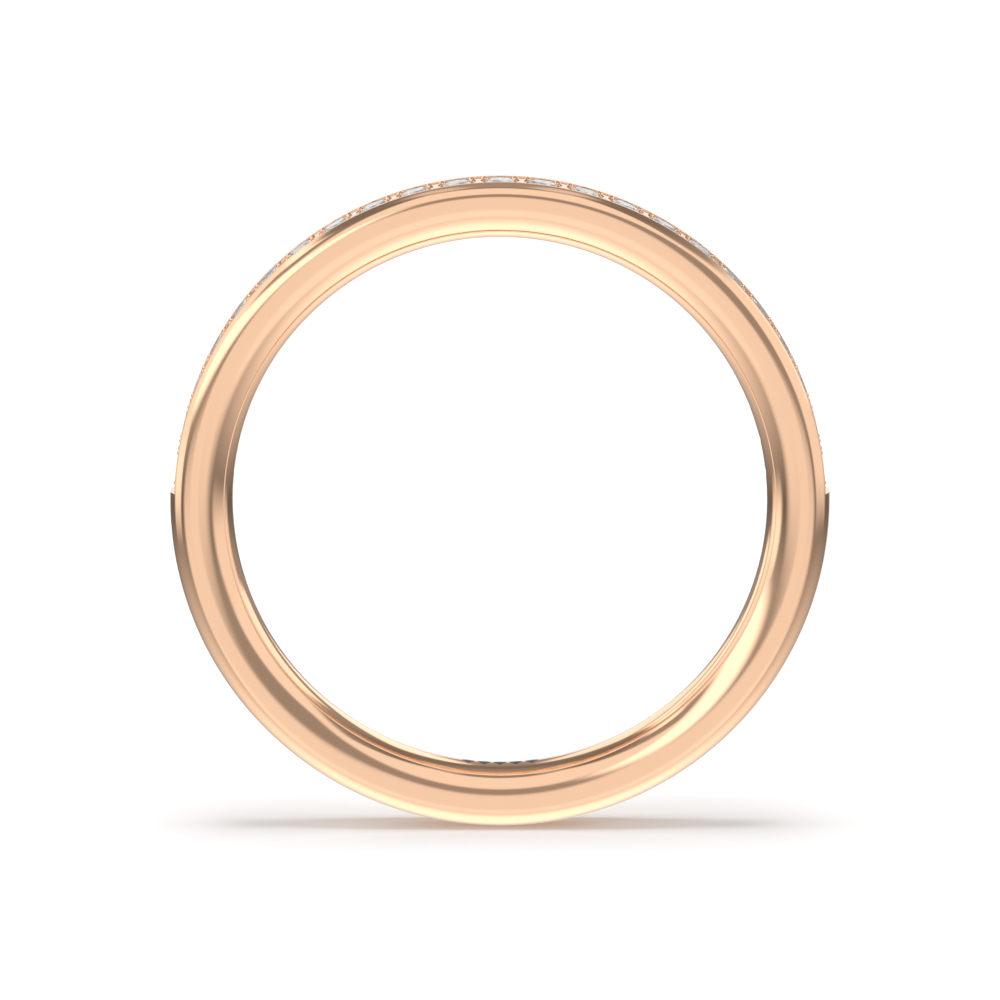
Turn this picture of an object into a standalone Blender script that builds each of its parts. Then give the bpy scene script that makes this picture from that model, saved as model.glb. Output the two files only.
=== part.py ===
"""Half-eternity wedding band: a court-section ring with a track of grain-set round brilliants.

The band stands upright. Its bore runs along Y, the origin is the centre of the bore, and the
middle stone of the track is at +Z. The script works in metres; sizes are given in millimetres.
"""
import math

import bmesh
import bpy
from mathutils import Matrix, Vector

MM = 0.001

# Bore and cross-section of the band (radii from the bore's axis, widths along Y).
BORE_RADIUS = 8.675 * MM
CROWN_RADIUS = 10.716 * MM
SEAM_RADIUS = 8.954 * MM
SEAM_HALF_WIDTH = 0.50 * MM
WIDEST_RADIUS = 9.92 * MM
HALF_WIDTH = 1.08 * MM
CROWN_EXPONENT = 2.8
FLANK_PULL = 0.40 * MM
BAND_STEPS = 60
BORE_POINTS = 3
FLANK_POINTS = 3
CROWN_POINTS = 4

# Flat-cut track that holds the stones over the upper half of the band.
STONE_COUNT = 23
STONE_PITCH = math.radians(7.6)
TRACK_HALF_ANGLE = math.radians(88.1)
TRACK_STEPS = 44
RIM_RADIUS = 10.57 * MM
CHANNEL_HALF_WIDTH = 0.62 * MM
FLOOR_RADIUS = 10.38 * MM
FLOOR_HALF_WIDTH = 0.56 * MM
CUTTER_REACH = 0.6 * MM

# Round brilliant, as shares of its girdle diameter.
STONE_DIAMETER = 1.24 * MM
TABLE_SHARE = 0.56
CROWN_SHARE = 0.15
GIRDLE_SHARE = 0.03
PAVILION_SHARE = 0.43
STAR_LENGTH = 0.5
LOWER_HALF_LENGTH = 0.77
GIRDLE_SIDES = 16
MAIN_FACETS = 8

# Seats, with the hole drilled through to the bore under each stone. A seat's flats face the
# neighbouring stones, the rims and the beads.
SEAT_CLEARANCE = 0.02 * MM
DRILL_RADIUS = 0.20 * MM
SEAT_SIDES = 8

# Beads raised from the band's own metal, four at each stone.
BEAD_RADIUS = 0.13 * MM
BEAD_CENTRE_RADIUS = 10.47 * MM
BEAD_OFFSET_ALONG = 0.495 * MM
BEAD_OFFSET_ACROSS = 0.50 * MM
BEAD_SIDES = 6
BEAD_RINGS = 4

ROSE_GOLD = (0.93, 0.62, 0.47, 1.0)
DIAMOND = (0.97, 0.97, 1.0, 1.0)
MERGE_DISTANCE = 1e-7


def clear_scene():
    """Remove whatever the scene starts with."""
    for item in list(bpy.data.objects):
        bpy.data.objects.remove(item, do_unlink=True)


def new_collection(name):
    collection = bpy.data.collections.new(name)
    bpy.context.scene.collection.children.link(collection)
    return collection


def new_material(name, colour, metallic, roughness, transmission=0.0, ior=1.5):
    material = bpy.data.materials.new(name)
    material.use_nodes = True
    shader = material.node_tree.nodes["Principled BSDF"]
    shader.inputs["Base Color"].default_value = colour
    shader.inputs["Metallic"].default_value = metallic
    shader.inputs["Roughness"].default_value = roughness
    shader.inputs["Transmission Weight"].default_value = transmission
    shader.inputs["IOR"].default_value = ior
    return material


def new_object(name, mesh, collection):
    item = bpy.data.objects.new(name, mesh)
    collection.objects.link(item)
    return item


def mark_as_cutter(item):
    """Cutters and guides are drawn as wires and never rendered."""
    item.hide_render = True
    item.display_type = "WIRE"


def seam_slope():
    """Slope of the bore's arc where it meets the seam."""
    sagitta = SEAM_RADIUS - BORE_RADIUS
    return 2.0 * math.atan(sagitta / SEAM_HALF_WIDTH)


def bore_arc():
    """Comfort-fit bore: an arc from the crest at the middle out to the seam, as (radius, across)."""
    arc_radius = SEAM_HALF_WIDTH / math.sin(seam_slope())
    points = []
    for index in range(-BORE_POINTS, BORE_POINTS + 1):
        angle = seam_slope() * index / BORE_POINTS
        radius = BORE_RADIUS + arc_radius * (1.0 - math.cos(angle))
        points.append((radius, arc_radius * math.sin(angle)))
    return points


def flank_points():
    """The side of the band from above the seam out to its widest point, as (radius, across)."""
    start = Vector((SEAM_RADIUS, SEAM_HALF_WIDTH))
    leaving = start + FLANK_PULL * Vector((math.sin(seam_slope()), math.cos(seam_slope())))
    end = Vector((WIDEST_RADIUS, HALF_WIDTH))
    arriving = end - Vector((FLANK_PULL, 0.0))
    points = []
    for index in range(1, FLANK_POINTS + 1):
        share = index / FLANK_POINTS
        rest = 1.0 - share
        point = start * rest ** 3 + leaving * 3.0 * share * rest ** 2
        point += arriving * 3.0 * share ** 2 * rest + end * share ** 3
        points.append((point.x, point.y))
    return points


def crown_points():
    """Quarter superellipse from above the widest point to the crown, as (radius, across)."""
    rise = CROWN_RADIUS - WIDEST_RADIUS
    power = 2.0 / CROWN_EXPONENT
    points = []
    for index in range(1, CROWN_POINTS):
        angle = 0.5 * math.pi * index / CROWN_POINTS
        radius = WIDEST_RADIUS + rise * math.sin(angle) ** power
        points.append((radius, HALF_WIDTH * math.cos(angle) ** power))
    points.append((CROWN_RADIUS, 0.0))
    return points


def band_section():
    """Closed outline of the band's cross-section, as (radius, across) points."""
    far_side = flank_points() + crown_points()
    near_side = [(radius, -across) for radius, across in far_side[:-1]]
    return bore_arc() + far_side + near_side[::-1]


def outline_mesh(name, outline):
    """A closed loop of edges in the XY plane: X is the radius, Y runs across the band."""
    count = len(outline)
    edges = [(index, (index + 1) % count) for index in range(count)]
    mesh = bpy.data.meshes.new(name)
    mesh.from_pydata([(x, y, 0.0) for x, y in outline], edges, [])
    return mesh


def add_screw(item, axis, steps):
    screw = item.modifiers.new("Turn", "SCREW")
    screw.axis = axis
    screw.angle = 2.0 * math.pi
    screw.steps = steps
    screw.render_steps = steps
    screw.use_merge_vertices = True
    screw.merge_threshold = MERGE_DISTANCE
    screw.use_smooth_shade = False
    return screw


def add_boolean(item, name, operation, cutters):
    """Boolean modifier against one object or a whole collection."""
    boolean = item.modifiers.new(name, "BOOLEAN")
    boolean.operation = operation
    boolean.solver = "EXACT"
    if isinstance(cutters, bpy.types.Collection):
        boolean.operand_type = "COLLECTION"
        boolean.collection = cutters
    else:
        boolean.object = cutters
    return boolean


def track_cutter(collection):
    """Stepped cutter for the flat-cut rims and the channel between them."""
    reach = CROWN_RADIUS + CUTTER_REACH
    side = HALF_WIDTH + CUTTER_REACH
    half = [(reach, side), (RIM_RADIUS, side), (RIM_RADIUS, CHANNEL_HALF_WIDTH)]
    half.append((FLOOR_RADIUS, FLOOR_HALF_WIDTH))
    outline = half + [(radius, -across) for radius, across in half[::-1]]
    shape = bmesh.new()
    start = Matrix.Rotation(-TRACK_HALF_ANGLE, 3, "Y")
    corners = [shape.verts.new(start @ Vector((0.0, across, radius))) for radius, across in outline]
    face = shape.faces.new(corners)
    bmesh.ops.spin(
        shape,
        geom=[face] + list(face.edges) + corners,
        cent=(0.0, 0.0, 0.0),
        axis=(0.0, 1.0, 0.0),
        angle=2.0 * TRACK_HALF_ANGLE,
        steps=TRACK_STEPS,
        use_duplicate=False,
    )
    bmesh.ops.recalc_face_normals(shape, faces=shape.faces)
    mesh = bpy.data.meshes.new("track_cutter")
    shape.to_mesh(mesh)
    shape.free()
    cutter = new_object("track_cutter", mesh, collection)
    mark_as_cutter(cutter)
    return cutter


def stone_angles():
    """Angle of each stone about the bore, from -X round to +X, with the middle stone at +Z."""
    middle = (STONE_COUNT - 1) / 2
    return [(index - middle) * STONE_PITCH for index in range(STONE_COUNT)]


def brilliant_mesh():
    """Round brilliant with its table at z = 0: 57 facets as the hull of its corner points."""
    girdle_radius = STONE_DIAMETER / 2
    table_radius = girdle_radius * TABLE_SHARE
    crown = STONE_DIAMETER * CROWN_SHARE
    girdle = STONE_DIAMETER * GIRDLE_SHARE
    pavilion = STONE_DIAMETER * PAVILION_SHARE
    half_step = math.pi / MAIN_FACETS
    fold = math.cos(half_step)
    star_inner = table_radius * fold
    star_radius = star_inner + (girdle_radius - star_inner) * STAR_LENGTH
    star_drop = crown * (star_radius * fold - table_radius) / (girdle_radius - table_radius)
    lower_radius = girdle_radius * (1.0 - LOWER_HALF_LENGTH)
    lower_depth = crown + girdle + pavilion * (1.0 - lower_radius * fold / girdle_radius)

    shape = bmesh.new()

    def ring(count, radius, height, turn):
        for index in range(count):
            angle = 2.0 * math.pi * index / count + turn
            shape.verts.new((radius * math.cos(angle), radius * math.sin(angle), height))

    ring(MAIN_FACETS, table_radius, 0.0, 0.0)
    ring(MAIN_FACETS, star_radius, -star_drop, half_step)
    ring(GIRDLE_SIDES, girdle_radius, -crown, 0.0)
    ring(GIRDLE_SIDES, girdle_radius, -crown - girdle, 0.0)
    ring(MAIN_FACETS, lower_radius, -lower_depth, half_step)
    shape.verts.new((0.0, 0.0, -crown - girdle - pavilion))
    bmesh.ops.convex_hull(shape, input=shape.verts)
    bmesh.ops.dissolve_limit(
        shape,
        angle_limit=math.radians(0.5),
        verts=shape.verts,
        edges=shape.edges,
    )
    bmesh.ops.recalc_face_normals(shape, faces=shape.faces)
    mesh = bpy.data.meshes.new("brilliant")
    shape.to_mesh(mesh)
    shape.free()
    return mesh


def seat_outline():
    """Seat and drill hole as (distance from the stone's axis, height above its table)."""
    spread = 1.0 / math.cos(math.pi / SEAT_SIDES)
    girdle_radius = (STONE_DIAMETER / 2 + SEAT_CLEARANCE) * spread
    table_radius = (STONE_DIAMETER / 2 * TABLE_SHARE + SEAT_CLEARANCE) * spread
    girdle_top = -STONE_DIAMETER * CROWN_SHARE + SEAT_CLEARANCE / 2
    girdle_bottom = -STONE_DIAMETER * (CROWN_SHARE + GIRDLE_SHARE) - SEAT_CLEARANCE / 2
    pavilion_slope = PAVILION_SHARE / 0.5
    drill_depth = girdle_bottom - (girdle_radius - DRILL_RADIUS) * pavilion_slope
    bottom = BORE_RADIUS - RIM_RADIUS - CUTTER_REACH
    return [
        (0.0, CUTTER_REACH),
        (table_radius, CUTTER_REACH),
        (table_radius, SEAT_CLEARANCE / 2),
        (girdle_radius, girdle_top),
        (girdle_radius, girdle_bottom),
        (DRILL_RADIUS, drill_depth),
        (DRILL_RADIUS, bottom),
        (0.0, bottom),
    ]


def seat_mesh():
    """One seat cutter about +Z, with the stone's table at z = 0."""
    shape = bmesh.new()
    corners = [shape.verts.new((radius, 0.0, height)) for radius, height in seat_outline()]
    edges = [shape.edges.new(pair) for pair in zip(corners, corners[1:])]
    bmesh.ops.spin(
        shape,
        geom=corners + edges,
        cent=(0.0, 0.0, 0.0),
        axis=(0.0, 0.0, 1.0),
        angle=2.0 * math.pi,
        steps=SEAT_SIDES,
        use_merge=True,
    )
    bmesh.ops.remove_doubles(shape, verts=shape.verts, dist=MERGE_DISTANCE)
    bmesh.ops.recalc_face_normals(shape, faces=shape.faces)
    half_step = Matrix.Rotation(math.pi / SEAT_SIDES, 3, "Z")
    bmesh.ops.transform(shape, matrix=half_step.to_4x4(), verts=shape.verts)
    mesh = bpy.data.meshes.new("seat_cutter")
    shape.to_mesh(mesh)
    shape.free()
    return mesh


def place_on_track(item, angle):
    """Stand an item that is modelled about +Z, with z = 0 on the rims, at an angle of the track."""
    item.rotation_euler = (0.0, angle, 0.0)
    item.location = (RIM_RADIUS * math.sin(angle), 0.0, RIM_RADIUS * math.cos(angle))


def bead_mesh():
    shape = bmesh.new()
    bmesh.ops.create_uvsphere(
        shape,
        u_segments=BEAD_SIDES,
        v_segments=BEAD_RINGS,
        radius=BEAD_RADIUS,
    )
    for vert in shape.verts:
        vert.co.z += BEAD_CENTRE_RADIUS
    mesh = bpy.data.meshes.new("bead")
    shape.to_mesh(mesh)
    shape.free()
    return mesh


def add_beads(collection):
    """Four beads round every stone, each turned from the stone towards its corner."""
    mesh = bead_mesh()
    turn = BEAD_OFFSET_ALONG / BEAD_CENTRE_RADIUS
    for angle in stone_angles():
        for side in (-1, 1):
            for end in (-1, 1):
                bead = new_object("bead", mesh, collection)
                bead.rotation_euler = (0.0, angle + end * turn, 0.0)
                bead.location = (0.0, side * BEAD_OFFSET_ACROSS, 0.0)
                mark_as_cutter(bead)


def add_band(parts, cutters, beads, seats):
    """The one-piece band with its track, beads, seats and drill holes."""
    mesh = outline_mesh("band", band_section())
    mesh.materials.append(new_material("rose_gold", ROSE_GOLD, 1.0, 0.12))
    band = new_object("band", mesh, parts)
    add_screw(band, "Y", BAND_STEPS)
    add_boolean(band, "Track", "DIFFERENCE", track_cutter(cutters))
    add_boolean(band, "Beads", "UNION", beads)
    add_boolean(band, "Seats", "DIFFERENCE", seats)
    return band


def add_seats(seats):
    mesh = seat_mesh()
    for angle in stone_angles():
        seat = new_object("seat_cutter", mesh, seats)
        place_on_track(seat, angle)
        mark_as_cutter(seat)


def add_stones(parts):
    """One brilliant for each seat, numbered from -X round to +X."""
    mesh = brilliant_mesh()
    for number, angle in enumerate(stone_angles(), start=1):
        name = f"diamond_{number:02d}"
        stone = new_object(name, mesh.copy(), parts)
        stone.data.materials.append(new_material(name, DIAMOND, 0.0, 0.0, 1.0, 2.42))
        place_on_track(stone, angle)


def build():
    clear_scene()
    parts = new_collection("wedding_band")
    cutters = new_collection("cutters")
    beads = new_collection("bead_guides")
    seats = new_collection("seat_cutters")
    add_beads(beads)
    add_seats(seats)
    add_band(parts, cutters, beads, seats)
    add_stones(parts)
    bpy.context.view_layer.update()


build()
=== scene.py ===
"""Looks of the wedding band: a polished rose-gold half-eternity ring with grain-set brilliants.

The band's bore runs along Y, its centre is the origin and the middle stone is at +Z.
Everything is in metres; sizes written here are in millimetres times MM.
"""
import math

import bmesh
import bpy
from mathutils import Matrix, Vector


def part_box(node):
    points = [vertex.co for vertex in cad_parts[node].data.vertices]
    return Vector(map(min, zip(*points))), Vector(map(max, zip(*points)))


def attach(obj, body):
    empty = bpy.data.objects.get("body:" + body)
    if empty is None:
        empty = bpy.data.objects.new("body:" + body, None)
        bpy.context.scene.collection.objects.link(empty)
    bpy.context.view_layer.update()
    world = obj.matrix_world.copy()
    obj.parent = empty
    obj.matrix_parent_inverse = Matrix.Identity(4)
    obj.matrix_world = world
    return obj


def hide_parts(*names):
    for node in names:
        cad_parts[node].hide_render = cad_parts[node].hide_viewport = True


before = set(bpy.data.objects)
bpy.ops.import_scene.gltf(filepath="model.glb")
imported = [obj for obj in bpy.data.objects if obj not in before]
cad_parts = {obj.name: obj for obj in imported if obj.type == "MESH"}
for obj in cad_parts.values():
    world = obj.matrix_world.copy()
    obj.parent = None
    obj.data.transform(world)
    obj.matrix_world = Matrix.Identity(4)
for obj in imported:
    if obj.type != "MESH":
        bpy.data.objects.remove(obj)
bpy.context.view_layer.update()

BAND_LOW, BAND_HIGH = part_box("band")
STONES = sorted(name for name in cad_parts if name.startswith("diamond_"))
MIDDLE_LOW, MIDDLE_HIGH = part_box(STONES[len(STONES) // 2])

MM = 0.001
MERGE_DISTANCE = 1e-7

# Taken from the frame.
CROWN_RADIUS = -BAND_LOW.z
HALF_WIDTH = BAND_HIGH.y
RIM_RADIUS = MIDDLE_HIGH.z
STONE_RADIUS = (MIDDLE_HIGH.y - MIDDLE_LOW.y) / 2

# Cross-section. It keeps the CAD band's outside sizes, but its seam stands further out and its
# crown is rounder than the CAD solid's.
BORE_RADIUS = 8.675 * MM
SEAM_RADIUS = 8.954 * MM
SEAM_HALF_WIDTH = 0.72 * MM
WIDEST_RADIUS = 9.92 * MM
CROWN_EXPONENT = 2.5
INNER_PULL = 0.25 * MM
OUTER_PULL = 0.45 * MM
SEAM_GROOVE = 0.025 * MM
SEAM_DEPTH = 0.022 * MM
BORE_POINTS = 12
FLANK_POINTS = 16
SHOULDER_POINTS = 14
CROWN_TOP_POINTS = 20

# The track.
STONE_PITCH = math.radians(7.6)
TRACK_HALF_ANGLE = math.radians(88.1)
RIM_ROUNDING = 0.018 * MM
ROUNDING_STEPS = 3
CHANNEL_HALF_WIDTH = 0.625 * MM
BED_RADIUS = 10.535 * MM
MODULE_STEPS = 8
LOWER_STEPS = 200

# Ornament at the foot of the bore: a row of thin dark lozenges set in its surface.
LOZENGE_COUNT = 5
LOZENGE_PITCH = 0.52 * MM
LOZENGE_LENGTH = 0.21 * MM
LOZENGE_HEIGHT = 0.25 * MM
LOZENGE_STEPS = 8
PATINA_RISE = 0.004 * MM
PATINA_DEPTH = 0.008 * MM

# Seats, beads and drill holes.
CROWN_SHARE = 0.15
GIRDLE_SHARE = 0.03
PAVILION_SHARE = 0.43
TABLE_SHARE = 0.56
SEAT_CLEARANCE = 0.008 * MM
SEAT_STEPS = 48
DRILL_RADIUS = 0.20 * MM
CUTTER_REACH = 0.4 * MM
BEAD_RADIUS = 0.125 * MM
BEAD_FOOT = 10.30 * MM
BEAD_TOP = 10.586 * MM
BEAD_OFFSET_ALONG = 0.490 * MM
BEAD_OFFSET_ACROSS = 0.495 * MM
BEAD_STEPS = 24
BEAD_DOME_STEPS = 8

# Materials.
CREASE_ANGLE = math.radians(28.0)
GOLD_COLOUR = (0.965, 0.615, 0.405, 1.0)
GOLD_ROUGHNESS = (0.085, 0.125)
GOLD_HAZE_SCALE = 900.0
GOLD_HAZE_DETAIL = 4.0
PATINA_COLOURS = ((0.010, 0.012, 0.016, 1.0), (0.045, 0.050, 0.060, 1.0))
PATINA_GRAIN_SCALE = 9000.0
PATINA_ROUGHNESS = 0.35
# The diamond's white body colour, then the grey of painted specks that stand in for the dark
# reflections in its facets (painted reflection), with their span and cell scale.
DIAMOND_BODY_AND_PAINTED_REFLECTION_COLOURS = ((0.97, 0.98, 1.0, 1.0), (0.50, 0.53, 0.58, 1.0))
DIAMOND_PAINTED_REFLECTION_SPAN = (0.42, 0.62)
DIAMOND_PAINTED_REFLECTION_SCALE = 5000.0
DIAMOND_IOR = 2.417
DIAMOND_CLARITY = 0.50
FLOOR_COLOUR = (0.9, 0.9, 0.9, 1.0)
FLOOR_ROUGHNESS = 0.9


def polar(radius, across, angle):
    """The point at a radius from the bore's axis, across the band, at an angle from +Z to +X."""
    return Vector((radius * math.sin(angle), across, radius * math.cos(angle)))


def new_object(name, mesh):
    item = bpy.data.objects.new(name, mesh)
    bpy.context.scene.collection.objects.link(item)
    return item


def mesh_from(shape, name):
    bmesh.ops.recalc_face_normals(shape, faces=shape.faces)
    mesh = bpy.data.meshes.new(name)
    shape.to_mesh(mesh)
    shape.free()
    return mesh


# ---------------------------------------------------------------- cross-section


def seam_slope():
    sagitta = SEAM_RADIUS - BORE_RADIUS
    return 2.0 * math.atan(sagitta / SEAM_HALF_WIDTH)


def bore_path():
    """The domed bore from the near seam to the far seam, as (radius, across)."""
    arc_radius = SEAM_HALF_WIDTH / math.sin(seam_slope())
    margin = SEAM_GROOVE / arc_radius
    reach = seam_slope() - margin
    path = []
    for index in range(-BORE_POINTS, BORE_POINTS + 1):
        angle = reach * index / BORE_POINTS
        radius = BORE_RADIUS + arc_radius * (1.0 - math.cos(angle))
        path.append((radius, arc_radius * math.sin(angle)))
    return path


def seam_bottom():
    """The floor of the fine groove that marks the seam between bore and side."""
    slope = seam_slope()
    inward = Vector((math.cos(slope), -math.sin(slope))) * SEAM_DEPTH
    return (SEAM_RADIUS + inward.x, SEAM_HALF_WIDTH + inward.y)


def flank_path():
    """The far side of the band from above the seam out to its widest point."""
    start = Vector((SEAM_RADIUS, SEAM_HALF_WIDTH))
    leaving = start + INNER_PULL * Vector((math.sin(seam_slope()), math.cos(seam_slope())))
    end = Vector((WIDEST_RADIUS, HALF_WIDTH))
    arriving = end - Vector((OUTER_PULL, 0.0))
    path = []
    first = SEAM_GROOVE / (3.0 * INNER_PULL)
    for index in range(FLANK_POINTS):
        share = first + (1.0 - first) * index / FLANK_POINTS
        rest = 1.0 - share
        point = start * rest ** 3 + leaving * 3.0 * share * rest ** 2
        point += arriving * 3.0 * share ** 2 * rest + end * share ** 3
        path.append((point.x, point.y))
    return path


def crown_point(angle):
    """A point of the outer superellipse, from angle 0 at the widest to 90 degrees at the crown."""
    power = 2.0 / CROWN_EXPONENT
    rise = CROWN_RADIUS - WIDEST_RADIUS
    radius = WIDEST_RADIUS + rise * max(0.0, math.sin(angle)) ** power
    return (radius, HALF_WIDTH * max(0.0, math.cos(angle)) ** power)


def corner_angle():
    """Where the outer curve meets the foot of the rim's rounded edge."""
    rise = CROWN_RADIUS - WIDEST_RADIUS
    share = (RIM_RADIUS - RIM_ROUNDING - WIDEST_RADIUS) / rise
    return math.asin(share ** (CROWN_EXPONENT / 2.0))


def shoulder_path():
    """The far outer curve from the widest point up to the rim's corner."""
    step = corner_angle() / SHOULDER_POINTS
    return [crown_point(step * index) for index in range(SHOULDER_POINTS + 1)]


def mirrored(path):
    return [(radius, -across) for radius, across in reversed(path)]


def common_path():
    """The outline both halves share, from the near rim corner round the bore to the far one."""
    far = [seam_bottom()] + flank_path() + shoulder_path()
    return mirrored(far) + bore_path() + far


def crown_path():
    """The outline over the crown, between the far rim corner and the near one."""
    start = corner_angle()
    half = []
    for index in range(1, CROWN_TOP_POINTS):
        share = index / CROWN_TOP_POINTS
        half.append(crown_point(start + (0.5 * math.pi - start) * share))
    return half + [(CROWN_RADIUS, 0.0)] + mirrored(half)


def rounded_corner(start, corner, end):
    """Points of a rounded edge between two points, bulging towards the corner between them."""
    path = []
    for index in range(1, ROUNDING_STEPS):
        share = index / ROUNDING_STEPS
        rest = 1.0 - share
        point = Vector(start) * rest ** 2 + Vector(corner) * 2.0 * share * rest
        point += Vector(end) * share ** 2
        path.append((point.x, point.y))
    return path


def track_path():
    """The outline across the track: far rim, channel wall, bed, and the same mirrored."""
    foot = crown_point(corner_angle())
    edge = (RIM_RADIUS, foot[1])
    land_outer = (RIM_RADIUS, foot[1] - RIM_ROUNDING)
    land_inner = (RIM_RADIUS, CHANNEL_HALF_WIDTH + RIM_ROUNDING / 2)
    wall_top = (RIM_RADIUS - RIM_ROUNDING / 2, CHANNEL_HALF_WIDTH)
    far = rounded_corner(foot, edge, land_outer) + [land_outer, land_inner]
    far += rounded_corner(land_inner, (RIM_RADIUS, CHANNEL_HALF_WIDTH), wall_top)
    far += [wall_top, (BED_RADIUS, CHANNEL_HALF_WIDTH)]
    return far + mirrored(far)


# ---------------------------------------------------------------- band


def add_ring(shape, outline, angle):
    return [shape.verts.new(polar(radius, across, angle)) for radius, across in outline]


def bridge(shape, first, second):
    """Quads between two closed rings of the same length."""
    count = len(first)
    for index in range(count):
        after = (index + 1) % count
        shape.faces.new((first[index], first[after], second[after], second[index]))


def sweep(shape, outline, start, end, steps):
    """Sweep a closed outline round the bore; returns the first and the last ring."""
    rings = []
    for index in range(steps + 1):
        rings.append(add_ring(shape, outline, start + (end - start) * index / steps))
    for first, second in zip(rings, rings[1:]):
        bridge(shape, first, second)
    return rings[0], rings[-1]


def revolve(name, outline, steps):
    """A solid turned about Z from (distance, height) points that start and end on the axis."""
    shape = bmesh.new()
    corners = [shape.verts.new((distance, 0.0, height)) for distance, height in outline]
    edges = [shape.edges.new(pair) for pair in zip(corners, corners[1:])]
    bmesh.ops.spin(
        shape,
        geom=corners + edges,
        axis=(0.0, 0.0, 1.0),
        cent=(0.0, 0.0, 0.0),
        angle=2.0 * math.pi,
        steps=steps,
        use_merge=True,
    )
    bmesh.ops.remove_doubles(shape, verts=shape.verts, dist=MERGE_DISTANCE)
    return new_object(name, mesh_from(shape, name))


def hole_cutter():
    """Everything that a stone's hole takes out of the bed: bore, seat cone and drill hole."""
    radius = STONE_RADIUS + SEAT_CLEARANCE
    girdle_top = RIM_RADIUS - 2 * STONE_RADIUS * CROWN_SHARE
    girdle_bottom = girdle_top - 2 * STONE_RADIUS * GIRDLE_SHARE - SEAT_CLEARANCE / 2
    slope = PAVILION_SHARE / 0.5
    outline = [
        (0.0, RIM_RADIUS + CUTTER_REACH),
        (radius, RIM_RADIUS + CUTTER_REACH),
        (radius, girdle_bottom),
        (DRILL_RADIUS, girdle_bottom - (radius - DRILL_RADIUS) * slope),
        (DRILL_RADIUS, BORE_RADIUS - CUTTER_REACH),
        (0.0, BORE_RADIUS - CUTTER_REACH),
    ]
    return revolve("hole_cutter", outline, SEAT_STEPS)


def crown_cutter():
    """The stone's crown with a hair of clearance, which shapes the undersides of the beads."""
    radius = STONE_RADIUS + SEAT_CLEARANCE
    table = STONE_RADIUS * TABLE_SHARE + SEAT_CLEARANCE
    girdle_top = RIM_RADIUS - 2 * STONE_RADIUS * CROWN_SHARE
    outline = [
        (0.0, RIM_RADIUS + CUTTER_REACH),
        (table, RIM_RADIUS + CUTTER_REACH),
        (table, RIM_RADIUS + SEAT_CLEARANCE),
        (radius, girdle_top + SEAT_CLEARANCE),
        (radius, girdle_top - CUTTER_REACH / 2),
        (0.0, girdle_top - CUTTER_REACH / 2),
    ]
    return revolve("crown_cutter", outline, SEAT_STEPS)


def bead(along, across):
    """One raised bead: a post with a domed head."""
    dome_base = BEAD_TOP - BEAD_RADIUS
    outline = [(0.0, BEAD_FOOT), (BEAD_RADIUS, BEAD_FOOT), (BEAD_RADIUS, dome_base)]
    for index in range(1, BEAD_DOME_STEPS):
        angle = 0.5 * math.pi * index / BEAD_DOME_STEPS
        outline.append((BEAD_RADIUS * math.cos(angle), dome_base + BEAD_RADIUS * math.sin(angle)))
    outline.append((0.0, BEAD_TOP))
    item = revolve("bead", outline[::-1], BEAD_STEPS)
    item.data.transform(Matrix.Translation((along, across, 0.0)))
    return item


def cut(item, operation, other):
    """Apply an exact Boolean to a mesh object and remove the other object."""
    modifier = item.modifiers.new("Cut", "BOOLEAN")
    modifier.operation = operation
    modifier.solver = "EXACT"
    modifier.object = other
    bpy.context.view_layer.update()
    graph = bpy.context.evaluated_depsgraph_get()
    made = bpy.data.meshes.new_from_object(item.evaluated_get(graph))
    item.modifiers.clear()
    item.data = made
    bpy.data.objects.remove(other)


def track_module():
    """One stone's share of the band: a wedge of the full section with its hole and four beads."""
    shape = bmesh.new()
    half = STONE_PITCH / 2
    first, last = sweep(shape, common_path() + track_path(), -half, half, MODULE_STEPS)
    shape.faces.new(first)
    shape.faces.new(last[::-1])
    item = new_object("track_module", mesh_from(shape, "track_module"))
    cut(item, "DIFFERENCE", hole_cutter())
    for side in (-1, 1):
        for end in (-1, 1):
            cut(item, "UNION", bead(end * BEAD_OFFSET_ALONG, side * BEAD_OFFSET_ACROSS))
    cut(item, "DIFFERENCE", crown_cutter())
    mesh = item.data
    bpy.data.objects.remove(item)
    return mesh


def on_end_plane(face):
    """Whether a face of the module lies in one of its two end planes."""
    half = STONE_PITCH / 2
    for side in (-1, 1):
        normal = Vector((math.cos(half), 0.0, -side * math.sin(half)))
        if all(abs(vert.co.dot(normal)) < MERGE_DISTANCE for vert in face.verts):
            return True
    return False


def add_modules(shape):
    """Copy the module to every stone's place and leave out the faces between neighbours."""
    module = track_module()
    single = bmesh.new()
    single.from_mesh(module)
    hidden = [face for face in single.faces if on_end_plane(face)]
    bmesh.ops.delete(single, geom=hidden, context="FACES")
    single.to_mesh(module)
    single.free()
    middle = (len(STONES) - 1) / 2
    for index in range(len(STONES)):
        known = len(shape.verts)
        shape.from_mesh(module)
        shape.verts.ensure_lookup_table()
        turn = Matrix.Rotation((index - middle) * STONE_PITCH, 4, "Y")
        bmesh.ops.transform(shape, matrix=turn, verts=shape.verts[known:])


def end_wall(shape, lower_ring, upper_ring, shared):
    """The planar wall where the track stops, between the crown and the track's outline."""
    far_corner = lower_ring[shared - 1]
    near_corner = lower_ring[0]
    crown = lower_ring[shared:]
    track = upper_ring[shared:]
    shape.faces.new([far_corner] + crown + [near_corner] + track[::-1])


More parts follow.
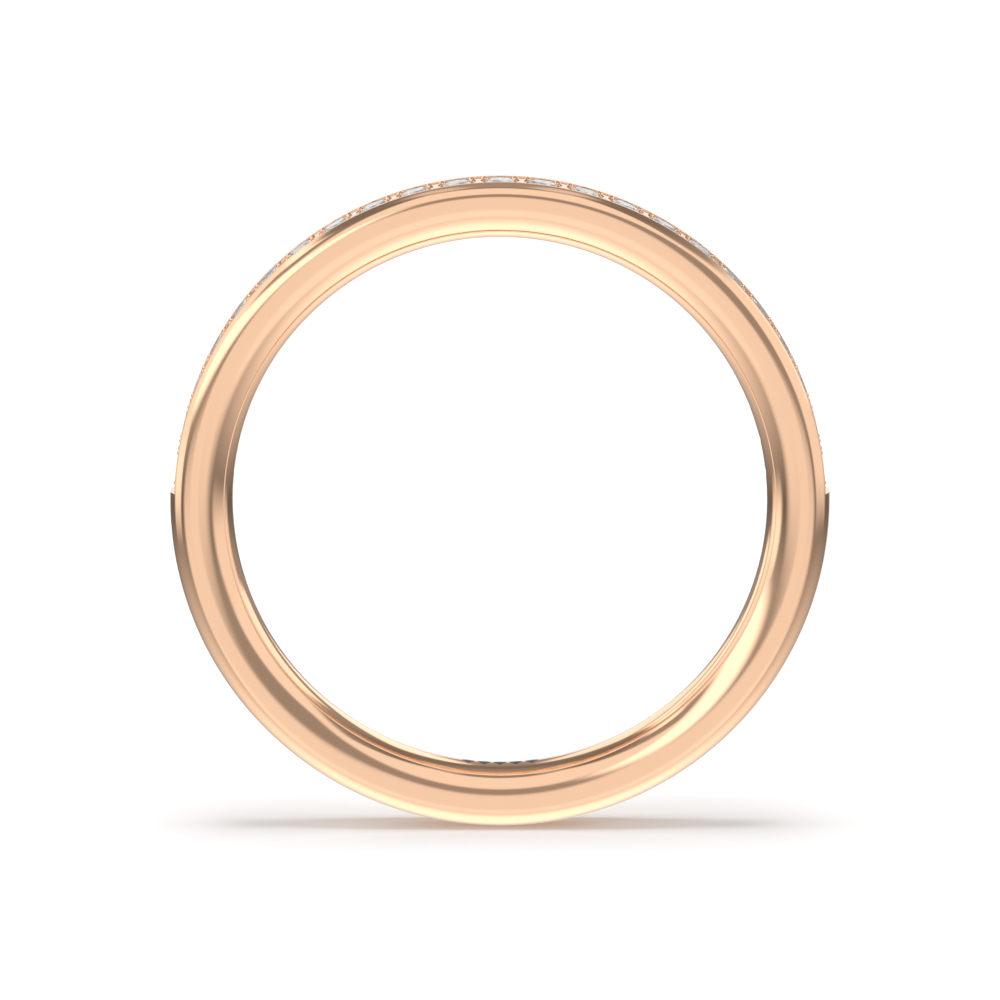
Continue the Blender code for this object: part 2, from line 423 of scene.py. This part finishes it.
def band_mesh():
    """The whole band as one closed mesh."""
    shape = bmesh.new()
    add_modules(shape)
    shared = len(common_path())
    lower_outline = common_path() + crown_path()
    track_outline = common_path() + track_path()
    lower_end = 2.0 * math.pi - TRACK_HALF_ANGLE
    right, left = sweep(shape, lower_outline, TRACK_HALF_ANGLE, lower_end, LOWER_STEPS)
    module_end = STONE_PITCH * len(STONES) / 2
    _, right_end = sweep(shape, track_outline, module_end, TRACK_HALF_ANGLE, 1)
    left_start, _ = sweep(shape, track_outline, -TRACK_HALF_ANGLE, -module_end, 1)
    end_wall(shape, right, right_end, shared)
    end_wall(shape, left, left_start, shared)
    bmesh.ops.remove_doubles(shape, verts=shape.verts, dist=MERGE_DISTANCE)
    return mesh_from(shape, "rose_gold_band")


def bore_point(along, across, lift):
    """A point over the domed bore at its foot, lifted towards the bore's axis."""
    arc_radius = SEAM_HALF_WIDTH / math.sin(seam_slope())
    sagitta = arc_radius - math.sqrt(arc_radius ** 2 - across ** 2)
    return polar(BORE_RADIUS + sagitta - lift, across, math.pi + along / BORE_RADIUS)


def add_lozenge(shape, centre):
    """A thin closed lozenge that follows the bore's surface."""
    layers = []
    for lift in (PATINA_RISE, -PATINA_DEPTH):
        grid = []
        for row in range(LOZENGE_STEPS + 1):
            first = 2.0 * row / LOZENGE_STEPS - 1.0
            line = []
            for column in range(LOZENGE_STEPS + 1):
                second = 2.0 * column / LOZENGE_STEPS - 1.0
                along = centre + LOZENGE_LENGTH * (first + second) / 2
                across = LOZENGE_HEIGHT * (first - second) / 2
                line.append(shape.verts.new(bore_point(along, across, lift)))
            grid.append(line)
        layers.append(grid)
        for lower, upper in zip(grid, grid[1:]):
            for index in range(LOZENGE_STEPS):
                shape.faces.new((lower[index], lower[index + 1], upper[index + 1], upper[index]))
    rims = [grid_rim(grid) for grid in layers]
    bridge(shape, rims[0], rims[1])


def grid_rim(grid):
    """The border of a square grid of vertices, in order."""
    rim = list(grid[0])
    rim += [line[-1] for line in grid[1:]]
    rim += grid[-1][-2::-1]
    rim += [line[0] for line in grid[-2:0:-1]]
    return rim


def ornament_mesh():
    shape = bmesh.new()
    for index in range(LOZENGE_COUNT):
        add_lozenge(shape, (index - (LOZENGE_COUNT - 1) / 2) * LOZENGE_PITCH)
    return mesh_from(shape, "bore_ornament")


def shade(mesh):
    """Smooth shading, with sharp edges where two faces meet at more than the crease angle."""
    mesh.shade_smooth()
    mesh.set_sharp_from_angle(angle=CREASE_ANGLE)


# ---------------------------------------------------------------- materials


def new_material(name):
    material = bpy.data.materials.new(name)
    material.use_nodes = True
    return material, material.node_tree, material.node_tree.nodes["Principled BSDF"]


def rose_gold():
    """Polished 18 ct rose gold with a faint polishing haze."""
    material, tree, shader = new_material("polished_rose_gold")
    shader.inputs["Base Color"].default_value = GOLD_COLOUR
    shader.inputs["Metallic"].default_value = 1.0
    place = tree.nodes.new("ShaderNodeTexCoord")
    haze = tree.nodes.new("ShaderNodeTexNoise")
    haze.inputs["Scale"].default_value = GOLD_HAZE_SCALE
    haze.inputs["Detail"].default_value = GOLD_HAZE_DETAIL
    span = tree.nodes.new("ShaderNodeMapRange")
    span.inputs["To Min"].default_value = GOLD_ROUGHNESS[0]
    span.inputs["To Max"].default_value = GOLD_ROUGHNESS[1]
    tree.links.new(place.outputs["Object"], haze.inputs["Vector"])
    tree.links.new(haze.outputs["Fac"], span.inputs["Value"])
    tree.links.new(span.outputs["Result"], shader.inputs["Roughness"])
    return material


def patina():
    """Dark oxide of the bore ornament."""
    material, tree, shader = new_material("dark_patina")
    place = tree.nodes.new("ShaderNodeTexCoord")
    grain = tree.nodes.new("ShaderNodeTexNoise")
    grain.inputs["Scale"].default_value = PATINA_GRAIN_SCALE
    tint = tree.nodes.new("ShaderNodeValToRGB")
    tint.color_ramp.elements[0].color = PATINA_COLOURS[0]
    tint.color_ramp.elements[1].color = PATINA_COLOURS[1]
    tree.links.new(place.outputs["Object"], grain.inputs["Vector"])
    tree.links.new(grain.outputs["Fac"], tint.inputs["Fac"])
    tree.links.new(tint.outputs["Color"], shader.inputs["Base Color"])
    shader.inputs["Roughness"].default_value = PATINA_ROUGHNESS
    return material


def diamond():
    """White brilliant with grey specks painted into its colour, a painted reflection that stands
    in for the dark reflections in a real stone's facets; half clear and half milky so that it
    looks bright.
    """
    material, tree, shader = new_material("brilliant_diamond")
    place = tree.nodes.new("ShaderNodeTexCoord")
    # Painted reflection: Voronoi cells darken the white into grey specks that stand in for the
    # dark reflections in the facets.
    painted_reflection_cells = tree.nodes.new("ShaderNodeTexVoronoi")
    painted_reflection_cells.inputs["Scale"].default_value = DIAMOND_PAINTED_REFLECTION_SCALE
    tint = tree.nodes.new("ShaderNodeValToRGB")
    tint.color_ramp.elements[0].color = DIAMOND_BODY_AND_PAINTED_REFLECTION_COLOURS[0]
    tint.color_ramp.elements[1].color = DIAMOND_BODY_AND_PAINTED_REFLECTION_COLOURS[1]
    tint.color_ramp.elements[0].position = DIAMOND_PAINTED_REFLECTION_SPAN[0]
    tint.color_ramp.elements[1].position = DIAMOND_PAINTED_REFLECTION_SPAN[1]
    tree.links.new(place.outputs["Object"], painted_reflection_cells.inputs["Vector"])
    tree.links.new(painted_reflection_cells.outputs["Distance"], tint.inputs["Fac"])
    tree.links.new(tint.outputs["Color"], shader.inputs["Base Color"])
    shader.inputs["Roughness"].default_value = 0.0
    shader.inputs["Transmission Weight"].default_value = DIAMOND_CLARITY
    shader.inputs["IOR"].default_value = DIAMOND_IOR
    return material


# ---------------------------------------------------------------- studio

CAMERA_DISTANCE = 350.0 * MM
CAMERA_ELEVATION = math.radians(10.1)
CAMERA_LENS = 387.7
SENSOR_WIDTH = 36.0
CLIP_RANGE = (0.01, 10.0)
AIM_ABOVE_CENTRE = 0.022 * MM

TOP_LIGHT = 1.50
TOP_LIGHT_SPREAD = math.radians(30.0)

# The studio's soft boxes as (azimuth from, to, elevation from, to, brightness, edge), in degrees.
# Azimuth is measured from the camera's side, towards +X; brightness 1 is a white wall.
# They are tuned for the reflections seen from the camera's own angle.
PANELS = (
    (-44, 34, -34, -2, 0.98, 13),
    (-16, 12, -24, 15, 0.97, 6),
    (-84, -12, 5, 30, 1.70, 6),
    (-42, 45, 28, 68, 1.02, 4),
    (40, 96, 3, 42, 1.04, 6),
    (42, 112, -12, 42, 1.00, 8),
    (98, 128, 6, 38, 1.35, 4),
    (142, 172, 8, 50, 1.45, 5),
    (-112, -72, -10, 50, 1.15, 6),
    (-112, -62, -14, 8, 1.30, 9),
    (-112, -62, 39, 50, 1.50, 4),
    (-129, -114, -4, 48, 1.50, 4),
    (-170, -133, 8, 48, 1.28, 5),
    (158, 200, -24, -10, 1.30, 5),
    (-200, -168, -24, -8, 1.05, 5),
    (166, 200, 0, 17, 1.10, 4),
    (-200, -164, 0, 17, 1.10, 4),
    (-125, -30, 69, 83, 0.78, 6),
    (30, 125, 69, 83, 0.84, 6),
    (-40, 40, -50, -12, 1.14, 16),
)
CEILING = 0.40
WALL = 0.36
GAP = 0.22
GAP_ELEVATION = 60.0
WALL_TOP = 40.0
CEILING_START = 85.0
FLOOR_GLOW_NEAR = 1.60
FLOOR_GLOW_FAR = 0.16
FLOOR_GLOW_END = -66.0
HORIZON = -11.0
HORIZON_SOFTNESS = 12.0
FLOOR_HALF_SIZE = 1.5
TOP_LIGHT_HEIGHT = 0.5


def math_node(tree, operation, *values):
    node = tree.nodes.new("ShaderNodeMath")
    node.operation = operation
    for socket, value in zip(node.inputs, values):
        if isinstance(value, bpy.types.NodeSocket):
            tree.links.new(value, socket)
        else:
            socket.default_value = value
    return node.outputs["Value"]


def ramp(tree, value, start, end, low, high, smooth=True):
    """Map a value from one range to another, clamped."""
    node = tree.nodes.new("ShaderNodeMapRange")
    node.interpolation_type = "SMOOTHSTEP" if smooth else "LINEAR"
    node.inputs["From Min"].default_value = start
    node.inputs["From Max"].default_value = end
    node.inputs["To Min"].default_value = low
    node.inputs["To Max"].default_value = high
    tree.links.new(value, node.inputs["Value"])
    return node.outputs["Result"]


def window(tree, value, start, end, edge):
    """One inside a span and nought outside it, with soft edges."""
    rising = ramp(tree, value, start - edge, start + edge, 0.0, 1.0)
    falling = ramp(tree, value, end - edge, end + edge, 1.0, 0.0)
    return math_node(tree, "MULTIPLY", rising, falling)


def panel(tree, azimuth, elevation, limits):
    low_azimuth, high_azimuth, low_elevation, high_elevation, brightness, edge = limits
    across = window(tree, azimuth, low_azimuth, high_azimuth, edge)
    up = window(tree, elevation, low_elevation, high_elevation, edge)
    return math_node(tree, "MULTIPLY", math_node(tree, "MULTIPLY", across, up), brightness)


def room(tree, elevation):
    """The room without its panels: ceiling, walls, dark skirting and the pale floor's glow."""
    high = ramp(tree, elevation, GAP_ELEVATION, CEILING_START, GAP, CEILING)
    middle = ramp(tree, elevation, WALL_TOP, GAP_ELEVATION, WALL, GAP)
    upper = math_node(tree, "ADD", math_node(tree, "SUBTRACT", middle, GAP), high)
    glow = ramp(
        tree, elevation, FLOOR_GLOW_END, HORIZON, FLOOR_GLOW_NEAR, FLOOR_GLOW_FAR, smooth=False
    )
    above = ramp(tree, elevation, HORIZON, HORIZON + HORIZON_SOFTNESS, 0.0, 1.0)
    upper = math_node(tree, "MULTIPLY", upper, above)
    below = math_node(tree, "SUBTRACT", 1.0, above)
    return math_node(tree, "ADD", upper, math_node(tree, "MULTIPLY", glow, below))


def add_world():
    """A studio of soft panels round the ring, over a pale floor."""
    world = bpy.data.worlds.new("studio")
    bpy.context.scene.world = world
    world.use_nodes = True
    tree = world.node_tree
    background = tree.nodes["Background"]
    place = tree.nodes.new("ShaderNodeTexCoord")
    split = tree.nodes.new("ShaderNodeSeparateXYZ")
    tree.links.new(place.outputs["Generated"], split.inputs["Vector"])
    towards_camera = math_node(tree, "MULTIPLY", split.outputs["Y"], -1.0)
    turn = math_node(tree, "ARCTAN2", split.outputs["X"], towards_camera)
    azimuth = math_node(tree, "MULTIPLY", turn, 180.0 / math.pi)
    height = math_node(tree, "ARCSINE", split.outputs["Z"])
    elevation = math_node(tree, "MULTIPLY", height, 180.0 / math.pi)
    light = room(tree, elevation)
    for limits in PANELS:
        light = math_node(tree, "MAXIMUM", light, panel(tree, azimuth, elevation, limits))
    tree.links.new(light, background.inputs["Strength"])
    background.inputs["Color"].default_value = (1.0, 1.0, 1.0, 1.0)


def add_floor():
    """The pale floor. Reflections see the world's own floor glow instead of it."""
    mesh = bpy.data.meshes.new("floor")
    shape = bmesh.new()
    bmesh.ops.create_grid(shape, x_segments=1, y_segments=1, size=FLOOR_HALF_SIZE)
    shape.to_mesh(mesh)
    shape.free()
    floor = new_object("floor", mesh)
    floor.location.z = BAND_LOW.z
    material, _, shader = new_material("pale_floor")
    shader.inputs["Base Color"].default_value = FLOOR_COLOUR
    shader.inputs["Roughness"].default_value = FLOOR_ROUGHNESS
    shader.inputs["Specular IOR Level"].default_value = 0.0
    mesh.materials.append(material)
    floor.visible_glossy = False
    floor.visible_transmission = False


def add_top_light():
    """A broad light from above, which grounds the ring with a soft contact shadow."""
    data = bpy.data.lights.new("top_light", "SUN")
    data.energy = TOP_LIGHT
    data.angle = TOP_LIGHT_SPREAD
    light = bpy.data.objects.new("top_light", data)
    bpy.context.scene.collection.objects.link(light)
    light.location = (0.0, 0.0, TOP_LIGHT_HEIGHT)
    light.visible_glossy = False
    light.visible_transmission = False


def add_camera():
    data = bpy.data.cameras.new("camera")
    camera = bpy.data.objects.new("camera", data)
    bpy.context.scene.collection.objects.link(camera)
    data.lens = CAMERA_LENS
    data.sensor_width = SENSOR_WIDTH
    data.clip_start, data.clip_end = CLIP_RANGE
    back = Vector((0.0, -math.cos(CAMERA_ELEVATION), math.sin(CAMERA_ELEVATION)))
    camera.location = Vector((0.0, 0.0, AIM_ABOVE_CENTRE)) + back * CAMERA_DISTANCE
    camera.rotation_euler = (-back).to_track_quat("-Z", "Y").to_euler()
    bpy.context.scene.camera = camera


def build():
    band = new_object("rose_gold_band", band_mesh())
    shade(band.data)
    band.data.materials.clear()
    band.data.materials.append(rose_gold())
    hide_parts("band")
    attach(band, "root")
    ornament = new_object("bore_ornament", ornament_mesh())
    ornament.data.materials.append(patina())
    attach(ornament, "root")
    clear_stone = diamond()
    for name in STONES:
        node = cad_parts[name]
        node.data.materials.clear()
        node.data.materials.append(clear_stone)
    add_world()
    add_floor()
    add_top_light()
    add_camera()
    bpy.context.scene.view_settings.view_transform = "Standard"


build()
